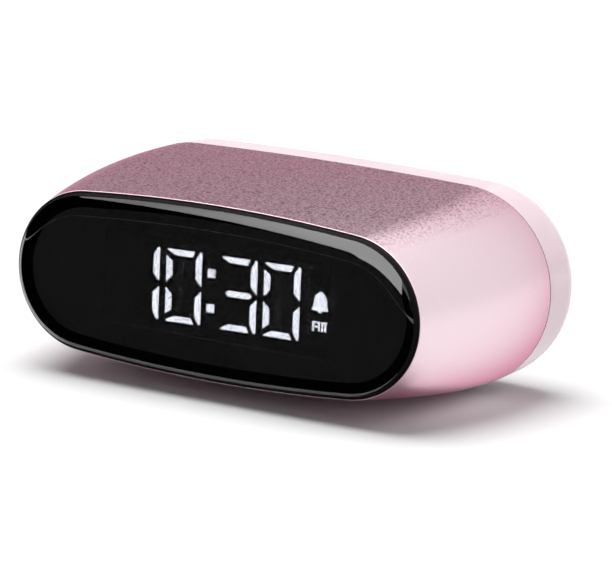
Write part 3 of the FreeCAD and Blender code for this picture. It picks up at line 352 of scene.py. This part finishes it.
ink_rows = [(INK_WALL, high.y), (-INK_WALL, high.y), (-INK_WALL, low.y + LENS_CROWN)]
for i in range(INK_STEPS + 1):
    turn = INK_OVER * i / INK_STEPS
    inset, y = crown(turn)
    lean = math.atan2(LENS_CROWN * math.cos(turn), LENS_SHOULDER * math.sin(turn))
    ink_rows.append((inset - INK_SKIN * math.sin(lean), y - INK_SKIN * math.cos(lean)))
ink_rows.append((ink_rows[-1][0] + INK_TUCK_IN, ink_rows[-1][1] + INK_TUCK_BACK))

mesh = bmesh.new()
rings = add_rings(mesh, ink_rows)
for one, other in zip(rings, rings[1:] + rings[:1]):
    bridge(mesh, one, other)
bmesh.ops.recalc_face_normals(mesh, faces=mesh.faces)
lens_edge_ink = keep_mesh(mesh, "lens_edge_ink", ink)
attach(lens_edge_ink, "clock")

# %% [markdown]
# ## The display
# The lit figures lie between two sheets of glass. The glass is masked black except at the figures,
# and a white light guide behind them is lit by two small lamps. So the figures are the only thing
# that gives light. Their white leans a little to blue, as such lamps do. They glow far brighter here
# than they look, because the tinted lens swallows most of it. The front glass and the two films are
# drawn nearly clear by their alpha, since more refracting sheets behind the lens would only blur
# the figures.

# %% Display materials
# Lit film: even and white, with no shading of its own.
LIT_STRENGTH = 16.0
lit, tree, shader = material("lit_figure_film", "#D4D9E2", 0.5, Emission_Color=shade("#F2F5FB"),
                             Emission_Strength=LIT_STRENGTH)
grain(tree, shader, 0.1, 0.001)
dress(lit, "lit_segments")

# Float glass: a clear sheet with a faint, sharp reflection.
glass, tree, shader = material("float_glass", "#DDE6E6", 0.03, ior=1.52, Alpha=0.06)
grain(tree, shader, 6, 0.002)
dress(glass, "lcd_front_glass")

# Masked glass: printed deep black, with the gloss of glass over it.
masked, tree, shader = material("masked_glass", "#050506", 0.12, ior=1.52)
grain(tree, shader, 0.5, 0.002)
dress(masked, "lcd_rear_glass")

# Polarising film: a thin grey veil with a dull sheen.
film, tree, shader = material("polarising_film", "#15161A", 0.2, Alpha=0.12)
grain(tree, shader, 0.3, 0.002)
dress(film, "front_polarizer", "rear_polarizer")

# Clear acrylic, moulded: nearly water clear, with slightly softened reflections.
guide, tree, shader = material("clear_acrylic", "#E9EEF0", 0.1, ior=1.49, Transmission_Weight=0.7)
grain(tree, shader, 0.8, 0.01)
dress(guide, "light_guide")

# Lamp resin, cast: pale yellow and waxy.
lamp_resin, tree, shader = material("lamp_resin", "#F3EBC8", 0.35)
grain(tree, shader, 0.2, 0.004)
dress(lamp_resin, "backlight_leds")

# %% [markdown]
# ## The hidden and the rear pieces
# A clock is opened now and then, and its door is opened every year, so the inside gets real
# finishes too: black ABS, silicone rubber, green laminate with its copper tracks under the lacquer,
# nickel-plated steel and the printed jackets of the cells.

# %% Plain moulded and rubber finishes
# Black ABS, moulded in a finely etched tool: nearly black, with a soft sheen.
black_abs, tree, shader = material("black_abs", "#141416", 0.45)
grain(tree, shader, 0.25, 0.008)
mottle(tree, shader, "#101012", "#19191B", 5)
dress(black_abs, "lens_carrier", "alarm_slider_case", "buzzer", "key_switches", "alarm_lever",
      "hour_plunger", "minute_plunger", "time_set_plunger", "alarm_set_plunger", "clock_chip")

# Bonding film: matt black, so that nothing shines behind the edge of the lens.
adhesive, tree, shader = material("adhesive_film", "#0C0C0D", 0.7, Specular_IOR_Level=0.1)
grain(tree, shader, 0.15, 0.01)
dress(adhesive, "lens_adhesive")

# Silicone rubber, moulded: dull grey, with no clear reflections.
silicone, tree, shader = material("silicone_rubber", "#4B4A4C", 0.62)
grain(tree, shader, 0.18, 0.012)
mottle(tree, shader, "#444345", "#535254", 2)
dress(silicone, "contact_strips", "front_foot", "rear_foot")

# %% Laminate, steel, ribbon and cells
TRACK_SIZE, TRACK_DEPTH = 9 * MM, 0.03 * MM
# The pitch of the ribbon's wires. A Wave texture draws about three bands for each unit of its scale.
WIRE_PITCH = 1.0 * MM
# Along a cell, counted from the middle: the jacket's dark body, its copper band and its pale end.
CELL_SPAN, BAND_FROM, END_FROM = 25 * MM, 0.45, 0.85

# Board laminate, lacquered: glossy green, with paler lines between darker fields of copper.
laminate, tree, shader = material("board_laminate", "#0E4A26", 0.32, ior=1.55)
tracks = add(tree, "ShaderNodeTexBrick", {"offset": 0.37, "squash": 1.4, "squash_frequency": 3},
             Vector=object_place(tree), Color1=shade("#0F5229"), Color2=shade("#0B4120"),
             Mortar=shade("#1F6E3B"), Scale=1 / TRACK_SIZE, Mortar_Size=0.035)
tree.links.new(tracks.outputs["Color"], shader.inputs["Base Color"])
bump = add(tree, "ShaderNodeBump", Height=tracks.outputs["Fac"], Strength=1.0, Distance=TRACK_DEPTH)
tree.links.new(bump.outputs["Normal"], shader.inputs["Normal"])
dress(laminate, "main_board", "left_key_board", "right_key_board")

# Steel, nickel plated: bright and a little warm, with a slight haze.
steel, tree, shader = material("nickel_plated_steel", "#C4C2BD", 0.25, 1.0)
grain(tree, shader, 0.3, 0.003)
mottle(tree, shader, "#B9B7B2", "#CFCDC8", 2)
dress(steel, "quartz_crystal", "board_screws", "case_screws", "series_contact", "positive_contact",
      "negative_contact", "touch_spring")

# Ribbon film: dull and pale stripes, a wire and a gap, under a smooth film.
ribbon, tree, shader = material("ribbon_film", "#D9D7CF", 0.4)
stripes = add(tree, "ShaderNodeTexWave", {"bands_direction": "Z"}, Vector=object_place(tree),
              Scale=1 / (math.pi * WIRE_PITCH), Distortion=0.0)
ramp = add(tree, "ShaderNodeValToRGB", Fac=stripes.outputs["Fac"])
for stop, tone in zip(ramp.color_ramp.elements, ("#8E8C86", "#E4E2DB")):
    stop.color = shade(tone)
tree.links.new(ramp.outputs["Color"], shader.inputs["Base Color"])
dress(ribbon, "ribbon_cables")

# Cell jacket, shrunk on and printed: glossy bands of dark, copper and pale tone.
jacket, tree, shader = material("printed_cell_jacket", "#2C3038", 0.28, 0.4)
along = add(tree, "ShaderNodeSeparateXYZ", Vector=object_place(tree))
distance = add(tree, "ShaderNodeMath", {"operation": "ABSOLUTE"}, _0=along.outputs["X"])
scaled = add(tree, "ShaderNodeMath", {"operation": "MULTIPLY"}, _0=distance.outputs[0],
             _1=1 / CELL_SPAN)
ramp = add(tree, "ShaderNodeValToRGB", {"label": "end band"}, Fac=scaled.outputs[0])
ramp.color_ramp.interpolation = "CONSTANT"
body, end = ramp.color_ramp.elements
body.color, end.color, end.position = shade("#262A33"), shade("#B9BCC0"), END_FROM
ramp.color_ramp.elements.new(BAND_FROM).color = shade("#8D6A3A")
tree.links.new(ramp.outputs["Color"], shader.inputs["Base Color"])
dress(jacket, "battery_cells")

# %% [markdown]
# ## What repeats: Geometry Nodes
# A grip's ribs and a chip's legs are one small shape, repeated at an even pitch. A Geometry Nodes tree
# says that once, with its sizes as named inputs. It runs on an empty mesh, and what it makes is kept
# as one plain mesh, because only plain meshes reach the exported model.

# %% Helpers for trees of Geometry Nodes
def new_tree(name, sizes):
    """An empty tree with an input for each size."""
    tree = bpy.data.node_groups.new(name, "GeometryNodeTree")
    tree.interface.new_socket("Geometry", in_out="INPUT", socket_type="NodeSocketGeometry")
    for label, size in sizes.items():
        kind = "NodeSocketInt" if isinstance(size, int) else "NodeSocketFloat"
        tree.interface.new_socket(label, in_out="INPUT", socket_type=kind)
    tree.interface.new_socket("Geometry", in_out="OUTPUT", socket_type="NodeSocketGeometry")
    return tree, tree.nodes.new("NodeGroupInput").outputs, tree.nodes.new("NodeGroupOutput").inputs


def finish_tree(tree, shape, finish, result):
    """End a tree: real geometry in place of instances, with a finish on it."""
    realised = add(tree, "GeometryNodeRealizeInstances", Geometry=shape)
    painted = add(tree, "GeometryNodeSetMaterial", Geometry=realised.outputs["Geometry"],
                  Material=finish)
    tree.links.new(painted.outputs["Geometry"], result["Geometry"])


def grow(name, tree, sizes, place, body):
    """Run a tree with its sizes, and keep the result as a plain mesh at its place."""
    seed = bpy.data.objects.new(name + "_seed", bpy.data.meshes.new(name + "_seed"))
    scene.collection.objects.link(seed)
    modifier = seed.modifiers.new("tree", "NODES")
    modifier.node_group = tree
    for item in tree.interface.items_tree:
        if item.in_out == "INPUT" and item.name in sizes:
            modifier[item.identifier] = sizes[item.name]
    ready = seed.evaluated_get(bpy.context.evaluated_depsgraph_get())
    mesh = bpy.data.meshes.new_from_object(ready)
    mesh.name = name
    bpy.data.objects.remove(seed)
    mesh.transform(place)
    made = bpy.data.objects.new(name, mesh)
    scene.collection.objects.link(made)
    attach(made, body)
    print(name, len(mesh.polygons), "faces,", [round(x / MM, 2) for x in made.dimensions], "mm")


def facing_back(place):
    """Local x to the viewer's right from behind, local y up, local z to the back, at a place."""
    return Matrix(((-1, 0, 0, place[0]), (0, 0, 1, place[1]), (0, 1, 0, place[2]), (0, 0, 0, 1)))

# %% [markdown]
# ## Ribs on the battery door
# A thumb pushes the door down to free its latch, so the moulding has a patch of half-round ribs under
# the grip groove. Each rib is a round profile swept along a short line and sunk to half its depth, so
# that it looks moulded in one with the door.

# %% Battery door ribs
RIB_SIDES = 20
# The door's outer face, and how far the first rib lies below the door's upper edge.
DOOR_FACE, RIBS_BELOW_EDGE = 28.925 * MM, 7.4 * MM
rib_sizes = {"Ribs": 6, "Pitch": 1.1 * MM, "Length": 13.0 * MM, "Radius": 0.32 * MM}
tree, sizes, result = new_tree("door_ribs", rib_sizes)
half = add(tree, "ShaderNodeMath", {"operation": "MULTIPLY"}, _0=sizes["Length"], _1=0.5)
minus = add(tree, "ShaderNodeMath", {"operation": "MULTIPLY"}, _0=sizes["Length"], _1=-0.5)
down = add(tree, "ShaderNodeMath", {"operation": "MULTIPLY"}, _0=sizes["Pitch"], _1=-1.0)
sweep = add(tree, "GeometryNodeCurvePrimitiveLine",
            Start=add(tree, "ShaderNodeCombineXYZ", X=minus.outputs[0]).outputs[0],
            End=add(tree, "ShaderNodeCombineXYZ", X=half.outputs[0]).outputs[0])
profile = add(tree, "GeometryNodeCurvePrimitiveCircle", Resolution=RIB_SIDES,
              Radius=sizes["Radius"])
rib = add(tree, "GeometryNodeCurveToMesh", Curve=sweep.outputs["Curve"],
          Profile_Curve=profile.outputs["Curve"], Fill_Caps=True)
row = add(tree, "GeometryNodeMeshLine", Count=sizes["Ribs"],
          Offset=add(tree, "ShaderNodeCombineXYZ", Y=down.outputs[0]).outputs[0])
ribs = add(tree, "GeometryNodeInstanceOnPoints", Points=row.outputs["Mesh"],
           Instance=rib.outputs["Mesh"])
finish_tree(tree, ribs.outputs["Instances"], pearl, result)

door_high = Vector(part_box("battery_door")[1])
grow("door_ribs", tree, rib_sizes, facing_back((0, DOOR_FACE, door_high.z - RIBS_BELOW_EDGE)),
     "battery_door")

# %% [markdown]
# ## The chip's legs
# The clock chip is soldered to the board on four sides. Each leg leaves the chip halfway up, bends
# down and ends in a flat foot, which one curve with two handles describes. One side's row is made, and
# three turned copies complete it.

# %% Chip legs
leg_sizes = {"Legs": 11, "Pitch": 0.8 * MM, "Reach": 1.0 * MM, "Rise": 0.6 * MM,
             "Half chip": 5.0 * MM, "Width": 0.34 * MM, "Thickness": 0.14 * MM}
# The share of the reach at which the leg turns down, its steps, and the solder under its foot.
BEND_SHARE, BEND_STEPS, SOLDER = 0.55, 10, 0.08 * MM
tree, sizes, result = new_tree("chip_legs", leg_sizes)
count = add(tree, "ShaderNodeMath", {"operation": "MULTIPLY_ADD"}, _0=sizes["Legs"], _1=-0.5, _2=0.5)
first = add(tree, "ShaderNodeMath", {"operation": "MULTIPLY"}, _0=count.outputs[0], _1=sizes["Pitch"])
bend = add(tree, "ShaderNodeMath", {"operation": "MULTIPLY"}, _0=sizes["Reach"], _1=BEND_SHARE)
top = add(tree, "ShaderNodeCombineXYZ", Z=sizes["Rise"])
over = add(tree, "ShaderNodeCombineXYZ", X=bend.outputs[0], Z=sizes["Rise"])
under = add(tree, "ShaderNodeCombineXYZ", X=bend.outputs[0])
toe = add(tree, "ShaderNodeCombineXYZ", X=sizes["Reach"])
path = add(tree, "GeometryNodeCurvePrimitiveBezierSegment", {"mode": "POSITION"},
           Resolution=BEND_STEPS, Start=top.outputs[0], Start_Handle=over.outputs[0],
           End_Handle=under.outputs[0], End=toe.outputs[0])
strip = add(tree, "GeometryNodeCurvePrimitiveQuadrilateral", Width=sizes["Thickness"],
            Height=sizes["Width"])
leg = add(tree, "GeometryNodeCurveToMesh", Curve=path.outputs["Curve"],
          Profile_Curve=strip.outputs["Curve"], Fill_Caps=True)
corner = add(tree, "ShaderNodeCombineXYZ", X=sizes["Half chip"], Y=first.outputs[0])
step = add(tree, "ShaderNodeCombineXYZ", Y=sizes["Pitch"])
row = add(tree, "GeometryNodeMeshLine", Count=sizes["Legs"], Start_Location=corner.outputs[0],
          Offset=step.outputs[0])
side = add(tree, "GeometryNodeInstanceOnPoints", Points=row.outputs["Mesh"],
           Instance=leg.outputs["Mesh"])
sides = add(tree, "GeometryNodeJoinGeometry")
for quarter in range(4):
    turned = add(tree, "GeometryNodeTransform", Geometry=side.outputs["Instances"],
                 Rotation=(0, 0, quarter * math.pi / 2))
    tree.links.new(turned.outputs["Geometry"], sides.inputs["Geometry"])
finish_tree(tree, sides.outputs["Geometry"], steel, result)

chip_low, chip_high = (Vector(corner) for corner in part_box("clock_chip"))
chip_place = ((chip_low.x + chip_high.x) / 2, chip_low.y + SOLDER, (chip_low.z + chip_high.z) / 2)
grow("chip_legs", tree, leg_sizes, facing_back(chip_place), "clock")

# %% [markdown]
# ## ON and OFF beside the alarm switch
# The two words are printed on the cover in a thin film of mauve ink, beside the two ends of the knob's
# travel. Text gives the outlines. It is made a mesh while it still lies flat, and then stood up
# against the cover.

# %% Switch words
# Pad print ink: a flat mauve, hardly raised.
print_ink, tree, shader = material("pad_print_ink", "#8C6F7A", 0.5)
grain(tree, shader, 0.15, 0.002)
WORD_HEIGHT, WORD_THICKNESS, WORD_GAP = 1.0 * MM, 0.04 * MM, 0.5 * MM
KNOB_TRAVEL = 3.0 * MM
# A capital's height, as a share of the size of its font.
CAPITAL = 0.7

knob_low, knob_high = (Vector(corner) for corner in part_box("alarm_knob"))
for word, drop in (("ON", 0.0), ("OFF", KNOB_TRAVEL)):
    writing = bpy.data.curves.new(word, "FONT")
    writing.body, writing.size, writing.extrude = word, WORD_HEIGHT / CAPITAL, WORD_THICKNESS
    writing.align_y = "CENTER"
    flat = bpy.data.objects.new(word, writing)
    scene.collection.objects.link(flat)
    mesh = bpy.data.meshes.new_from_object(flat.evaluated_get(bpy.context.evaluated_depsgraph_get()))
    bpy.data.objects.remove(flat)
    wide = max(v.co.x for v in mesh.vertices)
    mesh.transform(facing_back((knob_high.x + WORD_GAP + wide, DOOR_FACE,
                                (knob_low.z + knob_high.z) / 2 - drop)))
    mesh.materials.clear()
    mesh.materials.append(print_ink)
    made = bpy.data.objects.new("word_" + word, mesh)
    scene.collection.objects.link(made)
    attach(made, "clock")
    print(word, [round(x / MM, 2) for x in made.dimensions], "mm")

# %% [markdown]
# ## Floor, world and light
# The clock stands on a white table in a white room. The world is white where it is seen or mirrored,
# and gives only a little light of its own. The table is white where it is seen too, but greyer for
# the light that bounces off it, or it would fill the shadows more than in the photograph. A broad,
# soft sun, nearly straight above, lights the whole table evenly, so the ground stays white up to the
# edges and the shadow stays close to the clock. A softbox behind the clock, on the right, lights the
# cover's side. Reflections leave it out, where it would be a bright square on the metal.

# %% Table and world
TABLE_SEEN, TABLE_BOUNCE, TABLE_HALF = "#F6F6F6", "#6A6A6A", 6
WORLD_SEEN, WORLD_LIGHT = 1.0, 0.19


def sheet_mesh(name, corners, finish):
    """A flat sheet for the stage."""
    mesh = bpy.data.meshes.new(name)
    mesh.from_pydata([Vector(c) for c in corners], [], [tuple(range(len(corners)))])
    mesh.materials.append(finish)
    made = bpy.data.objects.new(name, mesh)
    scene.collection.objects.link(made)
    return made


def seen_or_mirrored(tree):
    """1 for what the camera sees, directly or in or through a surface, and 0 for light."""
    path = add(tree, "ShaderNodeLightPath").outputs
    seen = add(tree, "ShaderNodeMath", {"operation": "MAXIMUM"}, _0=path["Is Camera Ray"],
               _1=path["Is Glossy Ray"])
    return add(tree, "ShaderNodeMath", {"operation": "MAXIMUM"}, _0=seen.outputs[0],
               _1=path["Is Transmission Ray"]).outputs[0]


# Table paint, rolled: a smooth white without a sheen, so that nothing mirrors in it.
white, tree, shader = material("white_table", TABLE_SEEN, 0.6, Specular_IOR_Level=0.0)
colour = add(tree, "ShaderNodeMix", {"data_type": "RGBA"}, _0=seen_or_mirrored(tree),
             _6=shade(TABLE_BOUNCE), _7=shade(TABLE_SEEN))
tree.links.new(colour.outputs[2], shader.inputs["Base Color"])
sheet_mesh("table", [(-TABLE_HALF, -TABLE_HALF, 0), (TABLE_HALF, -TABLE_HALF, 0),
                     (TABLE_HALF, TABLE_HALF, 0), (-TABLE_HALF, TABLE_HALF, 0)], white)

world = bpy.data.worlds.new("studio")
world.use_nodes = True
scene.world = world
tree = world.node_tree
strength = add(tree, "ShaderNodeMix", {"data_type": "FLOAT"}, Factor=seen_or_mirrored(tree),
               A=WORLD_LIGHT, B=WORLD_SEEN)
tree.links.new(strength.outputs[0], tree.nodes["Background"].inputs["Strength"])
tree.nodes["Background"].inputs["Color"].default_value = shade("#FFFFFF")
print("table", 2 * TABLE_HALF, "m wide, world at", WORLD_LIGHT, "as a light")

# %% Sun and softbox
LAMPS_AIM = Vector((0, 0, 20)) * MM


def lamp(name, kind, place, **settings):
    """A lamp at a place, turned to the clock."""
    light = bpy.data.lights.new(name, kind)
    for key, setting in settings.items():
        setattr(light, key, setting)
    made = bpy.data.objects.new(name, light)
    made.location = place
    made.rotation_euler = (LAMPS_AIM - Vector(place)).to_track_quat("-Z", "Y").to_euler()
    scene.collection.objects.link(made)
    print(name, kind.lower(), "at", place)
    return made


lamp("soft_sun", "SUN", (-0.2, -0.05, 1.0), energy=3.05, angle=math.radians(50))
softbox = lamp("right_softbox", "AREA", (0.62, 0.95, 0.3), shape="SQUARE", size=0.5, energy=3.6)
softbox.visible_glossy = False

# %% [markdown]
# ## Cards that only reflections see
# A studio puts bright, black and grey cards round a shiny product to draw its edges. Each card here
# shows in reflections alone, so it gives no light and casts no shadow. A canopy slants up over the
# front and draws the grey strip along the lens's upper shoulder. It glows brighter towards the
# right, as the strip does in the photograph. The black cards below it and at both sides end the
# strip and keep the white room out of the rest of the shoulder. The lens's flat middle mirrors the
# table in front of the clock, so a black card on the table keeps it black. A grey card behind tones
# down the sleeve's top, and a white one beside the clock brightens the sleeve's lower side.

# %% Reflected cards
# The canopy's level, and the places from left to right between which it rises.
CANOPY_DIM, CANOPY_BRIGHT = 1.65, 3.5
CANOPY_RISE_FROM, CANOPY_RISE_TO = -0.55, -0.35
# A card on the table lies a little above it, so that the two share no plane.
ABOVE_TABLE = 0.0003


def reflected_card(name, level, corners):
    """A card of an even glow, or black, that only reflections see."""
    finish, tree, shader = material(name + "_paper", "#000000", 1.0, Specular_IOR_Level=0.0,
                                    Emission_Color=shade("#FFFFFF"), Emission_Strength=level)
    made = sheet_mesh(name, corners, finish)
    made.visible_camera = made.visible_shadow = False
    made.visible_diffuse = made.visible_transmission = False
    print(name, "at", level)
    return tree, shader


def upright(left, right, y, low, high):
    return [(left, y, low), (right, y, low), (right, y, high), (left, y, high)]


def sideways(left_front, left_rear, front, rear, high):
    return [(left_front, front, 0), (left_rear, rear, 0), (left_rear, rear, high),
            (left_front, front, high)]


def lying(left, right, front, rear):
    return [(left, front, ABOVE_TABLE), (right, front, ABOVE_TABLE), (right, rear, ABOVE_TABLE),
            (left, rear, ABOVE_TABLE)]


tree, shader = reflected_card("canopy", CANOPY_BRIGHT, [
    (-0.345, -0.976, 0.221), (0.36, -0.976, 0.221), (0.95, -0.145, 0.983), (-0.82, -0.145, 0.983),
    (-0.6, -0.454, 0.699)])
across = add(tree, "ShaderNodeSeparateXYZ", Vector=object_place(tree))
rise = add(tree, "ShaderNodeMapRange", Value=across.outputs["X"], _1=CANOPY_RISE_FROM,
           _2=CANOPY_RISE_TO, _3=CANOPY_DIM, _4=CANOPY_BRIGHT)
tree.links.new(rise.outputs[0], shader.inputs["Emission Strength"])

for name, level, corners in (
        ("low_black_card", 0.0, upright(-0.62, 1.3, -0.9, 0.0, 0.21)),
        ("front_black_card", 0.0, upright(-0.75, -0.2, -1.0, 0.0, 1.8)),
        ("front_right_black_card", 0.0, upright(0.2, 1.35, -1.0, 0.0, 0.6)),
        ("left_black_card", 0.0, sideways(-0.62, -1.6, -0.9, 1.0, 1.7)),
        ("right_black_card", 0.0, sideways(1.3, 1.3, -0.9, 0.0, 0.5)),
        ("table_black_card", 0.0, lying(-0.6, 0.25, -0.8, -0.0305)),
        ("rear_grey_card", 0.27, upright(-1.6, -0.4, 1.0, 0.32, 1.7)),
        ("table_white_card", 1.2, lying(0.04, 0.6, -0.016, 0.4))):
    reflected_card(name, level, corners)

# %% [markdown]
# Standard keeps each colour as it is written.

# %% Finish
scene.view_settings.view_transform = "Standard"
